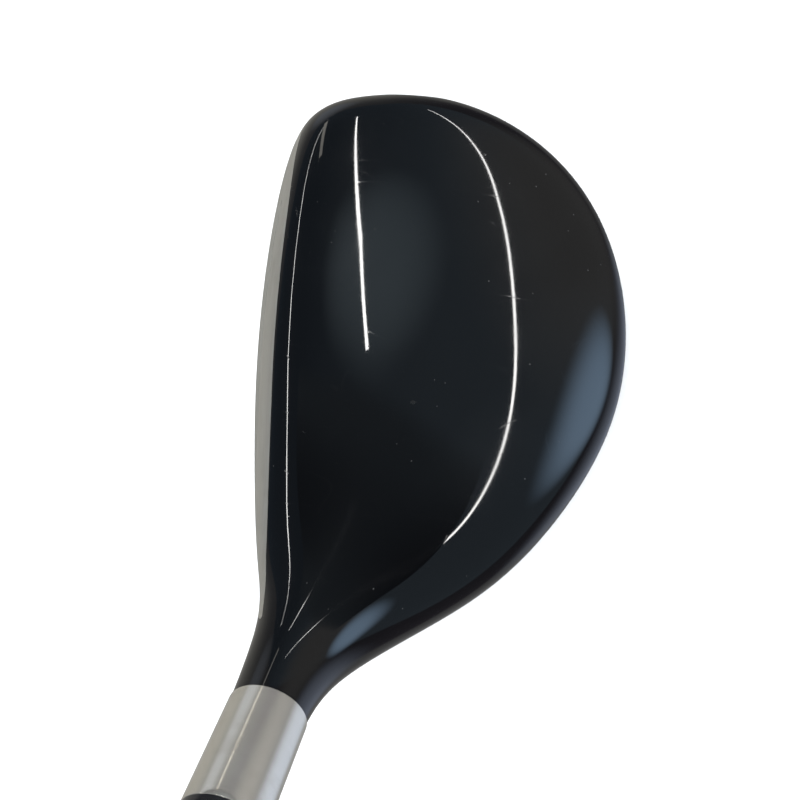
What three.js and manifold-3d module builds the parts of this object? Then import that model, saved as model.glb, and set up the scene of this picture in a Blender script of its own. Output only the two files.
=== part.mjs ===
// A right-handed 22.5 degree hybrid golf club, standing at address on the ground.
//
// Millimetres, +Z up. The origin is on the ground, under the flat in the middle of the sole.
// -Y is the way the face looks, -X is the toe, +X is the heel, and the shaft leans over +X.

import * as THREE from 'three';
import { ParametricGeometry } from 'three/addons/geometries/ParametricGeometry.js';
import { mergeVertices } from 'three/addons/utils/BufferGeometryUtils.js';
import Module from 'manifold-3d';

const wasm = await Module();
wasm.setup();

const rad = THREE.MathUtils.degToRad;
const GAP = 0.3;

// Shaft line: it crosses the ground at (AXIS_FOOT_X, AXIS_Y) and stands LIE degrees from it.
const LIE = rad(60);
const AXIS_FOOT_X = 29.1;
const AXIS_Y = -4;

// Heights along the shaft line, measured from where it crosses the ground.
const NECK_TOP = 57.7;
const HOSEL_TOP = 78;
const FERRULE_TOP = 103;
const SHAFT_TIP = 31;
const GRIP_MOUTH = 742;
const CLUB_LENGTH = 1010;

// Head: the face is a lofted plane with bulge and roll, the crown and sole are shallow domes,
// and the rim is an ellipse flattened on the heel side.
const FACE = { loft: rad(22.5), leadY: -28, leadZ: 5, bulge: 290, roll: 280, rollCentre: 16 };
const CROWN = { z: 36.5, x: 12, y: -12, radiusX: 210, radiusY: 98 };
const SOLE = { radiusX: 190, radiusY: 140, keel: 6, keelSpan: 50, keelX: 2, drop: 0.95 };
const RIM = { x: -2, y: 8, halfX: 53, halfY: 52, flatAngle: rad(56), flatReach: 54.8, flatBlend: 10 };
const NECK = { radius: 6.75, flare: 1.9, flareTop: 48, flareFade: 4, blend: 33 };
const EDGE = { skirt: 9, topline: 5.5, leading: 4.5, sole: 9 };
const WALL = 1.2;
const FACE_THICKNESS = 2.2;
const FACE_LIP = 6.2;

const SHAFT = { tipRadius: 4.25, tipParallel: 150, buttRadius: 7.6, tipBore: 2.2, buttBore: 6.4 };
const HOSEL = { boreRadius: 4.55, spigotRadius: 5.25 };
const GRIP = { mouthRadius: 10.1, buttRadius: 13.2, tape: 0.4 };
const PORT = { y: 27, radius: 8.5, tilt: rad(11), depth: 9 };
const BADGE = { x: -23, y: 4, length: 24, width: 9, depth: 0.6 };
const SCORE = { count: 7, first: 5.5, pitch: 2.7, width: 0.8, depth: 0.4, halfLength: 29, centreX: 2 };

const COLOURS = {
  blackPaint: { color: 0x0b0c0e, roughness: 0.08, metalness: 0 },
  faceSteel: { color: 0x9b9891, roughness: 0.4, metalness: 1 },
  turnedSteel: { color: 0x96948a, roughness: 0.3, metalness: 1 },
  tungsten: { color: 0x6d6e70, roughness: 0.4, metalness: 1 },
  brass: { color: 0xb08d4a, roughness: 0.4, metalness: 1 },
  blackPlastic: { color: 0x101012, roughness: 0.3, metalness: 0 },
  graphite: { color: 0x1c1e21, roughness: 0.25, metalness: 0 },
  gripRubber: { color: 0x18181a, roughness: 0.85, metalness: 0 },
  hotMelt: { color: 0xc9b37a, roughness: 0.7, metalness: 0 },
  tape: { color: 0xd8cfae, roughness: 0.9, metalness: 0 },
  badgeFill: { color: 0x8c2026, roughness: 0.35, metalness: 0 },
};

// ---------------------------------------------------------------- the head's outer shape

const smoothMax = (a, b, blend) => 0.5 * (a + b + Math.hypot(a - b, blend));
const softRamp = (x) => Math.log1p(Math.exp(x));

function smoothJoin(a, b, blend) {
  const overlap = Math.max(blend - Math.abs(a - b), 0) / blend;
  return Math.min(a, b) - overlap ** 3 * blend / 6;
}

function faceDistance(x, y, z) {
  const forward = (FACE.leadY - y) * Math.cos(FACE.loft) + (z - FACE.leadZ) * Math.sin(FACE.loft);
  const up = (y - FACE.leadY) * Math.sin(FACE.loft) + (z - FACE.leadZ) * Math.cos(FACE.loft);
  const roll = ((up - FACE.rollCentre) ** 2 - FACE.rollCentre ** 2) / (2 * FACE.roll);
  return forward + x * x / (2 * FACE.bulge) + roll;
}

function crownDistance(x, y, z) {
  const dropX = (x - CROWN.x) ** 2 / (2 * CROWN.radiusX);
  const dropY = (y - CROWN.y) ** 2 / (2 * CROWN.radiusY);
  return z - CROWN.z + dropX + dropY;
}

function soleDistance(x, y, z) {
  const keel = SOLE.keel * ((x - SOLE.keelX) / SOLE.keelSpan) ** 4;
  return x * x / (2 * SOLE.radiusX) + y * y / (2 * SOLE.radiusY) + keel - z - SOLE.drop;
}

function rimDistance(x, y) {
  const reach = Math.hypot((x - RIM.x) / RIM.halfX, (y - RIM.y) / RIM.halfY);
  const oval = (reach - 1) * (RIM.halfX + RIM.halfY) / 2;
  const heelFlat = x * Math.cos(RIM.flatAngle) + y * Math.sin(RIM.flatAngle) - RIM.flatReach;
  return smoothMax(oval, heelFlat, RIM.flatBlend);
}

function neckDistance(x, y, z) {
  const along = (x - AXIS_FOOT_X) * Math.cos(LIE) + z * Math.sin(LIE);
  const side = (x - AXIS_FOOT_X) * Math.sin(LIE) - z * Math.cos(LIE);
  const out = Math.hypot(side, y - AXIS_Y);
  const backwards = (y - AXIS_Y) / (out + 0.5);
  const flare = NECK.flare * softRamp((NECK.flareTop - along) / NECK.flareFade);
  return out - NECK.radius - flare * (0.225 + 0.775 * backwards);
}

// Roughly the distance from the head's surface: positive outside, negative inside.
function headDistance(x, y, z) {
  let distance = smoothMax(crownDistance(x, y, z), rimDistance(x, y), EDGE.skirt);
  distance = smoothMax(distance, faceDistance(x, y, z), EDGE.topline);
  distance = smoothJoin(distance, neckDistance(x, y, z), NECK.blend);
  const back = THREE.MathUtils.smoothstep(y, -24, 0);
  return smoothMax(distance, soleDistance(x, y, z), THREE.MathUtils.lerp(EDGE.leading, EDGE.sole, back));
}

// ---------------------------------------------------------------- rings that skin the head

// The rings stand upright from the toe to BEND.x, turn about BEND until they lie square to the
// shaft line, and then climb the neck. Each ring is sampled like an oval of the head's section.
const BEND = { x: 38, z: 52.6, toShaftLine: 18.6 };
const TOE_CORE = new THREE.Vector3(-30, 5.6, 15.5);
const BEND_FOOT = { y: 6, z: 17.6 };
const HEAD_SHARE = 0.6;
const BEND_SHARE = 0.28;
const SECTION = { halfDepth: 36, halfHeight: 17 };
const FULL_SKIN = { rows: 40, around: 40 };
const INNER_SKIN = { rows: 26, around: 28 };
const NECK_ROOT_SHARE = 0.8;

function marchOut(centre, direction, inset) {
  let inside = 0;
  let outside = 75;
  for (let step = 0; step < 32; step += 1) {
    const middle = (inside + outside) / 2;
    const point = centre.clone().addScaledVector(direction, middle);
    if (headDistance(point.x, point.y, point.z) + inset < 0) inside = middle;
    else outside = middle;
  }
  return centre.clone().addScaledVector(direction, inside);
}

function toeTip(inset) {
  return marchOut(TOE_CORE, new THREE.Vector3(-1, 0, 0), inset);
}

// Centre and downward direction of the ring at a share of the way from the toe to the neck's top.
function ringFrame(share, tip) {
  if (share <= HEAD_SHARE) {
    const way = 1 - Math.cos(share / HEAD_SHARE * Math.PI / 2);
    const x = THREE.MathUtils.lerp(tip.x, BEND.x, way);
    const y = THREE.MathUtils.lerp(TOE_CORE.y, BEND_FOOT.y, way);
    const z = THREE.MathUtils.lerp(TOE_CORE.z, BEND_FOOT.z, way);
    return { centre: new THREE.Vector3(x, y, z), down: new THREE.Vector3(0, 0, -1) };
  }
  const bent = Math.min((share - HEAD_SHARE) / BEND_SHARE, 1);
  const climbed = Math.max((share - HEAD_SHARE - BEND_SHARE) / (1 - HEAD_SHARE - BEND_SHARE), 0);
  const down = new THREE.Vector3(Math.sin(LIE * bent), 0, -Math.cos(LIE * bent));
  const left = (1 - bent) ** 2;
  const reach = THREE.MathUtils.lerp(BEND.toShaftLine, BEND.z - BEND_FOOT.z, left);
  const centre = new THREE.Vector3(BEND.x, AXIS_Y + (BEND_FOOT.y - AXIS_Y) * left, BEND.z);
  centre.addScaledVector(down, reach);
  const bendTop = (BEND.x - AXIS_FOOT_X) * Math.cos(LIE) + BEND.z * Math.sin(LIE);
  const climb = (NECK_TOP - bendTop) * climbed;
  centre.add(new THREE.Vector3(Math.cos(LIE), 0, Math.sin(LIE)).multiplyScalar(climb));
  return { centre, down };
}

// A closed skin at `inset` under the head's surface, from the toe up to `reach` of the way.
function headGeometry(inset, { rows, around }, reach = 1) {
  const tip = toeTip(inset);
  const skin = (turnShare, rowShare, target) => {
    const row = Math.round(rowShare * rows);
    if (row === 0) {
      target.copy(tip);
      return;
    }
    const { centre, down } = ringFrame(Math.min(row / (rows - 1), 1) * reach, tip);
    if (row === rows) {
      target.copy(centre);
      return;
    }
    const turn = (turnShare % 1) * 2 * Math.PI;
    const direction = new THREE.Vector3(0, Math.cos(turn) * SECTION.halfDepth, 0);
    direction.addScaledVector(down, -Math.sin(turn) * SECTION.halfHeight).normalize();
    target.copy(marchOut(centre, direction, inset));
  };
  return new ParametricGeometry(skin, around, rows);
}

// ---------------------------------------------------------------- solids

function toSolid(geometry) {
  const bare = geometry.clone();
  bare.deleteAttribute('normal');
  bare.deleteAttribute('uv');
  const merged = mergeVertices(bare, 1e-4);
  const index = merged.index.array;
  const triangles = [];
  for (let i = 0; i < index.length; i += 3) {
    const [a, b, c] = index.slice(i, i + 3);
    if (a !== b && b !== c && c !== a) triangles.push(a, b, c);
  }
  const mesh = new wasm.Mesh({
    numProp: 3,
    vertProperties: new Float32Array(merged.attributes.position.array),
    triVerts: new Uint32Array(triangles),
  });
  return new wasm.Manifold(mesh);
}

function toGeometry(solid) {
  const mesh = solid.getMesh();
  const geometry = new THREE.BufferGeometry();
  geometry.setAttribute('position', new THREE.BufferAttribute(new Float32Array(mesh.vertProperties), 3));
  geometry.setIndex(new THREE.BufferAttribute(new Uint32Array(mesh.triVerts), 1));
  geometry.computeVertexNormals();
  return geometry;
}

// A turned piece about +Z, from [radius, height] points that close on themselves or the axis.
function turned(points, segments = 32) {
  const profile = points.map(([radius, height]) => new THREE.Vector2(radius, height));
  return new THREE.LatheGeometry(profile, segments).rotateX(Math.PI / 2);
}

function tube(inner, outer, bottom, top, segments = 32) {
  return turned([[outer, bottom], [outer, top], [inner, top], [inner, bottom], [outer, bottom]], segments);
}

function rod(radius, bottom, top, segments = 32) {
  return turned([[0, bottom], [radius, bottom], [radius, top], [0, top]], segments);
}

function alongShaft(geometry) {
  const lean = new THREE.Matrix4().makeRotationY(Math.PI / 2 - LIE);
  return geometry.applyMatrix4(lean.setPosition(AXIS_FOOT_X, AXIS_Y, 0));
}

// The face plate's outline pushed through the face, x across and y up from the leading edge.
function facePrism(grow) {
  const heel = 46.2 + grow;
  const toe = -42.5 - grow;
  const below = -9 - grow;
  const outline = new THREE.Shape();
  outline.moveTo(toe, below);
  outline.lineTo(heel, below);
  outline.lineTo(heel, 36.5);
  outline.quadraticCurveTo(heel, 40.4 + grow, 45.2, 39.3 + grow);
  outline.quadraticCurveTo(42.8, 35.4 + grow, 36, 33 + grow);
  outline.quadraticCurveTo(27, 30.9 + grow, 15, 30.7 + grow);
  outline.quadraticCurveTo(-6, 30.3 + grow, -22, 27 + grow);
  outline.quadraticCurveTo(-30, 25.35 + grow, -37, 21.6 + grow);
  outline.quadraticCurveTo(toe, 18.6 + grow, toe, 13);
  outline.closePath();
  const depth = FACE_LIP + grow;
  const prism = new THREE.ExtrudeGeometry(outline, { depth: depth + 12, bevelEnabled: false, curveSegments: 8 });
  prism.translate(0, 0, -depth);
  prism.rotateX(Math.PI / 2 - FACE.loft);
  return prism.translate(0, FACE.leadY, FACE.leadZ);
}

function roundedBar(length, width, depth) {
  const half = length / 2 - width / 2;
  const outline = new THREE.Shape();
  outline.moveTo(-half, -width / 2);
  outline.lineTo(half, -width / 2);
  outline.absarc(half, 0, width / 2, -Math.PI / 2, Math.PI / 2, false);
  outline.lineTo(-half, width / 2);
  outline.absarc(-half, 0, width / 2, Math.PI / 2, 1.5 * Math.PI, false);
  return new THREE.ExtrudeGeometry(outline, { depth, bevelEnabled: false, curveSegments: 8 });
}

// Turned sole pieces stand on the sole at the port, with +Z pointing into the head.
function inPort(geometry) {
  geometry.rotateX(PORT.tilt);
  return geometry.translate(0, PORT.y, portSurface.z);
}

const portSurface = marchOut(new THREE.Vector3(0, PORT.y, 15), new THREE.Vector3(0, 0, -1), 0);

// ---------------------------------------------------------------- the pieces of the head

const ground = new THREE.BoxGeometry(200, 200, 40).translate(0, 0, -20);
const headBlank = toSolid(headGeometry(0, FULL_SKIN)).subtract(toSolid(ground));
const cavity = toSolid(headGeometry(WALL, INNER_SKIN, NECK_ROOT_SHARE));

function bodyCasting() {
  const neckBore = alongShaft(rod(HOSEL.spigotRadius + GAP, SHAFT_TIP - 3, NECK_TOP + 5));
  const window = toSolid(facePrism(GAP)).subtract(toSolid(headGeometry(FACE_THICKNESS + GAP, INNER_SKIN)));
  const portHole = inPort(rod(PORT.radius + GAP, -6, 6));
  const badgeBar = roundedBar(BADGE.length + 2 * GAP, BADGE.width + 2 * GAP, 14);
  const badgeSeat = toSolid(badgeBar.translate(BADGE.x, BADGE.y, -10))
    .subtract(toSolid(headGeometry(BADGE.depth + GAP, FULL_SKIN)));
  return headBlank.subtract(cavity).subtract(toSolid(neckBore)).subtract(window)
    .subtract(toSolid(portHole)).subtract(badgeSeat);
}

function facePlate() {
  const plate = headBlank.intersect(toSolid(facePrism(0)))
    .subtract(toSolid(headGeometry(FACE_THICKNESS, INNER_SKIN)));
  const floor = toSolid(headGeometry(SCORE.depth, FULL_SKIN));
  let scored = plate;
  for (let line = 0; line < SCORE.count; line += 1) {
    const height = SCORE.first + line * SCORE.pitch;
    const bar = new THREE.BoxGeometry(2 * SCORE.halfLength, 14, SCORE.width);
    bar.rotateX(-FACE.loft);
    bar.translate(SCORE.centreX, FACE.leadY + height * Math.sin(FACE.loft),
      FACE.leadZ + height * Math.cos(FACE.loft));
    scored = scored.subtract(toSolid(bar).subtract(floor));
  }
  return scored;
}

function soleBadge() {
  const bar = roundedBar(BADGE.length, BADGE.width, 14).translate(BADGE.x, BADGE.y, -10);
  return headBlank.intersect(toSolid(bar)).subtract(toSolid(headGeometry(BADGE.depth, FULL_SKIN)));
}

function weightPort() {
  const cup = turned([
    [PORT.radius, -4], [PORT.radius, PORT.depth], [5, PORT.depth], [5, 3.6], [6.4, 3.6], [6.4, -4],
    [PORT.radius, -4],
  ]);
  return headBlank.intersect(toSolid(inPort(cup)));
}

function weightScrew() {
  const screw = turned([[0, 0.5], [5.7, 0.5], [6.1, 0.9], [6.1, 3.3], [4.7, 3.3], [4.7, 8.6], [0, 8.6]]);
  const socket = new THREE.CylinderGeometry(2.9, 2.9, 4, 6).rotateX(Math.PI / 2).translate(0, 0, 1);
  return toSolid(inPort(screw)).subtract(toSolid(inPort(socket)));
}

function dampingBlob() {
  const lump = new THREE.SphereGeometry(11, 20, 12).scale(1.2, 0.9, 0.55).translate(-24, 8, 5);
  return toSolid(lump).intersect(toSolid(headGeometry(WALL + 2 * GAP, INNER_SKIN, HEAD_SHARE)));
}

// ---------------------------------------------------------------- the pieces on the shaft line

function shaftRadius(height) {
  const taper = Math.max(height - SHAFT_TIP - SHAFT.tipParallel, 0);
  const full = CLUB_LENGTH - SHAFT_TIP - SHAFT.tipParallel;
  return THREE.MathUtils.lerp(SHAFT.tipRadius, SHAFT.buttRadius, taper / full);
}

const SHAFT_BUTT = CLUB_LENGTH - 4;

function hoselTube() {
  const bottom = SHAFT_TIP + 2;
  return turned([
    [HOSEL.spigotRadius, bottom], [HOSEL.spigotRadius, NECK_TOP + GAP], [NECK.radius, NECK_TOP + GAP],
    [NECK.radius, HOSEL_TOP], [HOSEL.boreRadius, HOSEL_TOP], [HOSEL.boreRadius, bottom + 2],
    [HOSEL.boreRadius - 1, bottom + 2], [HOSEL.boreRadius - 1, bottom], [HOSEL.spigotRadius, bottom],
  ]);
}

function ferrule() {
  const bore = HOSEL.boreRadius;
  const bottom = HOSEL_TOP + GAP;
  return turned([
    [NECK.radius, bottom], [NECK.radius, bottom + 6], [NECK.radius - 0.4, bottom + 12],
    [5.2, FERRULE_TOP - 1], [4.9, FERRULE_TOP], [bore, FERRULE_TOP], [bore, bottom], [NECK.radius, bottom],
  ]);
}

function shaft() {
  const tip = SHAFT_TIP + 4 + GAP;
  const taperFoot = SHAFT_TIP + SHAFT.tipParallel;
  return turned([
    [SHAFT.tipRadius, tip], [SHAFT.tipRadius, taperFoot], [shaftRadius(SHAFT_BUTT), SHAFT_BUTT],
    [SHAFT.buttBore, SHAFT_BUTT], [SHAFT.tipBore, taperFoot], [SHAFT.tipBore, tip], [SHAFT.tipRadius, tip],
  ]);
}

function sleeveOnShaft(clearance, outerAt, bottom, top) {
  const inner = (height) => shaftRadius(height) + clearance;
  return turned([
    [outerAt(bottom), bottom], [outerAt(top), top], [inner(top), top], [inner(bottom), bottom],
    [outerAt(bottom), bottom],
  ]);
}

function gripTape() {
  const outside = (height) => shaftRadius(height) + GAP + GRIP.tape;
  return sleeveOnShaft(GAP, outside, GRIP_MOUTH + 6, SHAFT_BUTT);
}

function grip() {
  const outside = (height) => {
    const way = (height - GRIP_MOUTH) / (CLUB_LENGTH - GRIP_MOUTH);
    return THREE.MathUtils.lerp(GRIP.mouthRadius, GRIP.buttRadius, way ** 1.2);
  };
  const clearance = 2 * GAP + GRIP.tape;
  const top = SHAFT_BUTT;
  const mouth = [[outside(GRIP_MOUTH) - 0.6, GRIP_MOUTH], [outside(GRIP_MOUTH), GRIP_MOUTH + 1.5]];
  const sides = [0.25, 0.5, 0.75, 1].map((way) => {
    const height = THREE.MathUtils.lerp(GRIP_MOUTH, top, way);
    return [outside(height), height];
  });
  const inside = [[shaftRadius(top) + clearance, top], [shaftRadius(GRIP_MOUTH) + clearance, GRIP_MOUTH]];
  return turned([...mouth, ...sides, ...inside, mouth[0]]);
}

function gripCap() {
  const vent = 1.6;
  const bottom = SHAFT_BUTT + GAP;
  return turned([
    [GRIP.buttRadius, bottom], [GRIP.buttRadius, CLUB_LENGTH - 1.8], [GRIP.buttRadius - 1.8, CLUB_LENGTH],
    [vent, CLUB_LENGTH], [vent, bottom], [GRIP.buttRadius, bottom],
  ]);
}

// ---------------------------------------------------------------- assembly

const club = new THREE.Group();

function add(name, geometry, finish) {
  const mesh = new THREE.Mesh(geometry, new THREE.MeshStandardMaterial(COLOURS[finish]));
  mesh.name = name;
  club.add(mesh);
}

add('body_casting', toGeometry(bodyCasting()), 'blackPaint');
add('face_plate', toGeometry(facePlate()), 'faceSteel');
add('sole_badge', toGeometry(soleBadge()), 'badgeFill');
add('weight_port', toGeometry(weightPort()), 'turnedSteel');
add('weight_screw', toGeometry(weightScrew()), 'tungsten');
add('damping_blob', toGeometry(dampingBlob()), 'hotMelt');
add('hosel_tube', alongShaft(hoselTube()), 'turnedSteel');
add('hosel_plug', alongShaft(rod(HOSEL.boreRadius - GAP - 1, SHAFT_TIP, SHAFT_TIP + 3.7)), 'blackPlastic');
add('ferrule', alongShaft(ferrule()), 'blackPlastic');
add('shaft', alongShaft(shaft()), 'graphite');
add('tip_weight', alongShaft(rod(SHAFT.tipBore - GAP, SHAFT_TIP + 5, SHAFT_TIP + 27)), 'brass');
add('tip_cork', alongShaft(rod(SHAFT.tipBore - GAP, SHAFT_TIP + 28, SHAFT_TIP + 38)), 'tape');
add('grip_tape', alongShaft(gripTape()), 'tape');
add('grip', alongShaft(grip()), 'gripRubber');
add('grip_cap', alongShaft(gripCap()), 'gripRubber');

export default club;
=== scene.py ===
"""A right-handed 22.5 degree hybrid golf club, dressed over its CAD frame.

The frame gives every part's place and size: metres, +Z up, the origin on the ground under the
middle of the sole. -Y is the way the face looks, -X is the toe, and the shaft leans over +X.
Shapes are worked out in millimetres and become metres when a piece is made.
"""

import logging
import math
from collections.abc import Callable, Sequence
from dataclasses import dataclass
from enum import Enum
from functools import reduce
from operator import add

import bmesh
import bpy
import numpy as np
from mathutils import Matrix, Vector


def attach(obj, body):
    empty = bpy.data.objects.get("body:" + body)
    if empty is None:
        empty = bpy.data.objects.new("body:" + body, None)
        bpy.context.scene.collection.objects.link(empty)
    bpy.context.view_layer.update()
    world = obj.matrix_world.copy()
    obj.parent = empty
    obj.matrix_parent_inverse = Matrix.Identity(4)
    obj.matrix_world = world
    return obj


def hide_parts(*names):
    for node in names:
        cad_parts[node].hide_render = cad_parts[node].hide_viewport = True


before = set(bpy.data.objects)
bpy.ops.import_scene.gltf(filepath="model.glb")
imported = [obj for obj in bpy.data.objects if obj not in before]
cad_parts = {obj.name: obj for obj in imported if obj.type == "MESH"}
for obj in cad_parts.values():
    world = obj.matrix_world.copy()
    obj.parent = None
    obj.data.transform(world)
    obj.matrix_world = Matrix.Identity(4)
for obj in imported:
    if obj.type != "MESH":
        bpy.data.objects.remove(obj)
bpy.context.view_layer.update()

MM = 0.001
SHAFT_AXIS = (0.5, 0.0, 0.8660254)
LOG = logging.getLogger("hybrid_club")

Points = np.ndarray
Colour = tuple[float, float, float]
Triple = tuple[float, float, float]


# ------------------------------------------------------------------------------ shader graphs


class Signal:
    """A number that varies over a surface, with Python's operators building Math nodes."""

    def __init__(self, graph: "Graph", socket: bpy.types.NodeSocket) -> None:
        """Wraps one output socket of a graph."""
        self.graph = graph
        self.socket = socket

    def math(self, operation: str, *values: "Signal | float") -> "Signal":
        """A Math node on the given values.

        Args:
            operation: The Math node's operation.
            values: Its inputs in order.

        Returns:
            The node's result.
        """
        return self.graph.node("ShaderNodeMath", {"operation": operation}, dict(enumerate(values)))

    def __add__(self, other: "Signal | float") -> "Signal":
        """self + other."""
        return self.math("ADD", self, other)

    def __radd__(self, other: float) -> "Signal":
        """other + self."""
        return self.math("ADD", other, self)

    def __sub__(self, other: "Signal | float") -> "Signal":
        """self - other."""
        return self.math("SUBTRACT", self, other)

    def __rsub__(self, other: float) -> "Signal":
        """other - self."""
        return self.math("SUBTRACT", other, self)

    def __mul__(self, other: "Signal | float") -> "Signal":
        """self * other."""
        return self.math("MULTIPLY", self, other)

    def __rmul__(self, other: float) -> "Signal":
        """other * self."""
        return self.math("MULTIPLY", other, self)

    def __abs__(self) -> "Signal":
        """The size of self without its sign."""
        return self.math("ABSOLUTE", self)

    def ramp(self, low: float, high: float) -> "Signal":
        """A smooth step: 0 where self is at low and 1 where it is at high.

        Args:
            low: Where the step starts.
            high: Where the step ends; below low, the step falls.

        Returns:
            The step, from 0 to 1.
        """
        start, end, first, last = (low, high, 0.0, 1.0) if low < high else (high, low, 1.0, 0.0)
        return self.graph.node(
            "ShaderNodeMapRange",
            {"interpolation_type": "SMOOTHSTEP"},
            {"Value": self, "From Min": start, "From Max": end, "To Min": first, "To Max": last},
        )


class Graph:
    """The node tree of one material or world."""

    def __init__(self, tree: bpy.types.NodeTree) -> None:
        """Clears the tree."""
        self.tree = tree
        tree.nodes.clear()

    def node(
        self,
        kind: str,
        settings: dict | None = None,
        inputs: dict | None = None,
        output: str | int = 0,
    ) -> Signal:
        """Makes any node.

        Args:
            kind: The node's type.
            settings: Its properties, which are set first.
            inputs: Values, or links as signals, by socket name or number.
            output: The socket that is handed back.

        Returns:
            The chosen output.
        """
        made = self.tree.nodes.new(kind)
        for name, value in (settings or {}).items():
            setattr(made, name, value)
        for name, value in (inputs or {}).items():
            if isinstance(value, Signal):
                self.tree.links.new(value.socket, made.inputs[name])
            elif isinstance(value, tuple) and len(value) == 3 and made.inputs[name].type == "RGBA":
                made.inputs[name].default_value = (*value, 1.0)
            else:
                made.inputs[name].default_value = value
        return Signal(self, made.outputs[output]) if len(made.outputs) else Signal(self, None)

    def place(self, turn: Triple = (0.0, 0.0, 0.0), stretch: Triple = (1.0, 1.0, 1.0)) -> Signal:
        """The surface's place in metres, turned and stretched.

        Args:
            turn: Turns about X, Y and Z.
            stretch: Scales along X, Y and Z.

        Returns:
            The vector.
        """
        here = self.node("ShaderNodeTexCoord", output="Object")
        return self.node("ShaderNodeMapping", {}, {"Vector": here, "Rotation": turn, "Scale": stretch})

    def along(self, direction: Triple, origin: Triple = (0.0, 0.0, 0.0)) -> Signal:
        """How far a point lies along a direction from an origin, in metres."""
        here = self.node("ShaderNodeTexCoord", output="Object")
        moved = self.node("ShaderNodeVectorMath", {"operation": "SUBTRACT"}, {0: here, 1: origin})
        return self.dot(moved, direction)

    def dot(self, vector: Signal, direction: Triple) -> Signal:
        """How far a vector reaches along a direction."""
        both = {0: vector, 1: direction}
        return self.node("ShaderNodeVectorMath", {"operation": "DOT_PRODUCT"}, both, "Value")

    def noise(self, where: Signal, size: float, detail: float = 2.0, roughness: float = 0.5) -> Signal:
        """Noise with features of about the given size in metres."""
        inputs = {"Vector": where, "Scale": 1 / size, "Detail": detail, "Roughness": roughness}
        return self.node("ShaderNodeTexNoise", {}, inputs, "Fac")

    def lines(self, distance: Signal, size: float, detail: float = 2.0) -> Signal:
        """Noise that changes only with one distance, for turned or drawn lines."""
        inputs = {"W": distance, "Scale": 1 / size, "Detail": detail}
        return self.node("ShaderNodeTexNoise", {"noise_dimensions": "1D"}, inputs, "Fac")

    def hairs(self, turn: Triple, size: float, width: float, sparse: float) -> Signal:
        """Thin wandering lines, broken into short stretches.

        Args:
            turn: Turns of the pattern about X, Y and Z.
            size: How far apart the lines run, in metres.
            width: Their share of that distance.
            sparse: From 0, unbroken, to 1, nearly none.

        Returns:
            1 on the lines and 0 beside them.
        """
        where = self.place(turn, (1.0, 0.22, 1.0))
        crest = abs(self.noise(where, size, 0.0) - 0.5)
        kept = self.noise(self.place(turn), size * 0.6, 1.0).ramp(sparse, sparse + 0.06)
        return crest.ramp(width, 0.0) * kept

    def blend(self, mask: Signal, low: Signal | Colour, high: Signal | Colour) -> Signal:
        """A colour that goes from low to high with the mask."""
        return self.node("ShaderNodeMix", {"data_type": "RGBA"}, {0: mask, 6: low, 7: high}, 2)

    def bump(self, height: Signal, depth: float, below: Signal | None = None) -> Signal:
        """A normal bent by a height.

        Args:
            height: From 0 to 1.
            depth: What 1 stands for, in metres.
            below: A normal to bend further.

        Returns:
            The normal.
        """
        inputs = {"Height": height, "Distance": depth, "Strength": 1.0}
        if below is not None:
            inputs["Normal"] = below
        return self.node("ShaderNodeBump", {}, inputs)

    def surface(self, **inputs: Signal | float | Colour) -> Signal:
        """A Principled surface; underscores in the names stand for spaces."""
        named = {name.replace("_", " "): value for name, value in inputs.items()}
        return self.node("ShaderNodeBsdfPrincipled", {}, named)

    def show(self, surface: Signal) -> None:
        """Sends a surface to the output."""
        self.node("ShaderNodeOutputMaterial", {}, {"Surface": surface})


# ------------------------------------------------------------------------------ finishes


class Finish:
    """What a piece is made of and how its surface is worked."""

    slot: str

    def paint(self, graph: Graph) -> None:
        """Builds the surface in a graph."""
        raise NotImplementedError

    def dress(self, piece: bpy.types.Object) -> bpy.types.Object:
        """Gives a piece this finish through its object's material slots.

        Args:
            piece: A mesh object.

        Returns:
            The same object.
        """
        name = f"{self.slot}_finish"
        material = bpy.data.materials.get(name) or bpy.data.materials.new(name)
        if not material.get("painted"):
            material.use_nodes = True
            self.paint(Graph(material.node_tree))
            material["painted"] = True
        if not piece.data.materials:
            piece.data.materials.append(None)
        for place in piece.material_slots:
            place.link = "OBJECT"
            place.material = material
        return piece


@dataclass(frozen=True)
class Blemish:
    """A small worn mark on the paint: its middle and size in millimetres, and its stretch."""

    x: float
    y: float
    radius: float
    turn: float = 0.0
    length: float = 1.0


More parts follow.
